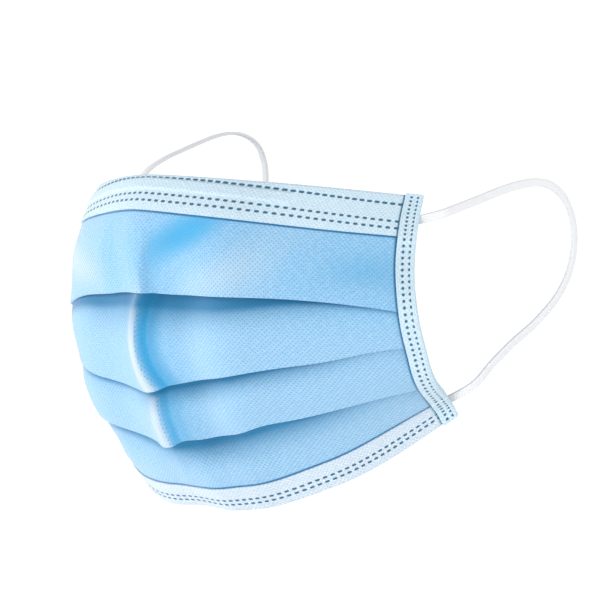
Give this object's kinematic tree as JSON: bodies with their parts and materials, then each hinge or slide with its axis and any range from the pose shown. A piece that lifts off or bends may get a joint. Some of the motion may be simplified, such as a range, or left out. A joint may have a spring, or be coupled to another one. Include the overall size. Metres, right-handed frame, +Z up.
{
  "type": "surgical face mask",
  "caption": "Pleated cloth face mask in its worn form, with edge bands, a nose strip, side bindings and two ear loops.",
  "frame": {"origin": "the point inside the top band that sits on the bridge of the nose, on the mask's middle plane", "axes": "+X to the wearer's left, -Y out to the front, +Y in towards the face, +Z up"},
  "size_m": [0.1466, 0.132, 0.1201],
  "materials": {
    "blue_cloth": "matte spunbond nonwoven",
    "white_cloth": "matte spunbond nonwoven",
    "strip": "smooth coated strip",
    "elastic": "fine knitted elastic"
  },
  "bodies": {
    "root": {"face_panel": "blue_cloth", "top_band": "white_cloth", "bottom_band": "white_cloth", "nose_strip": "strip", "side_binding_left": "white_cloth", "side_binding_right": "white_cloth", "ear_loop_left": "elastic", "ear_loop_right": "elastic"}
  },
  "joints": []
}
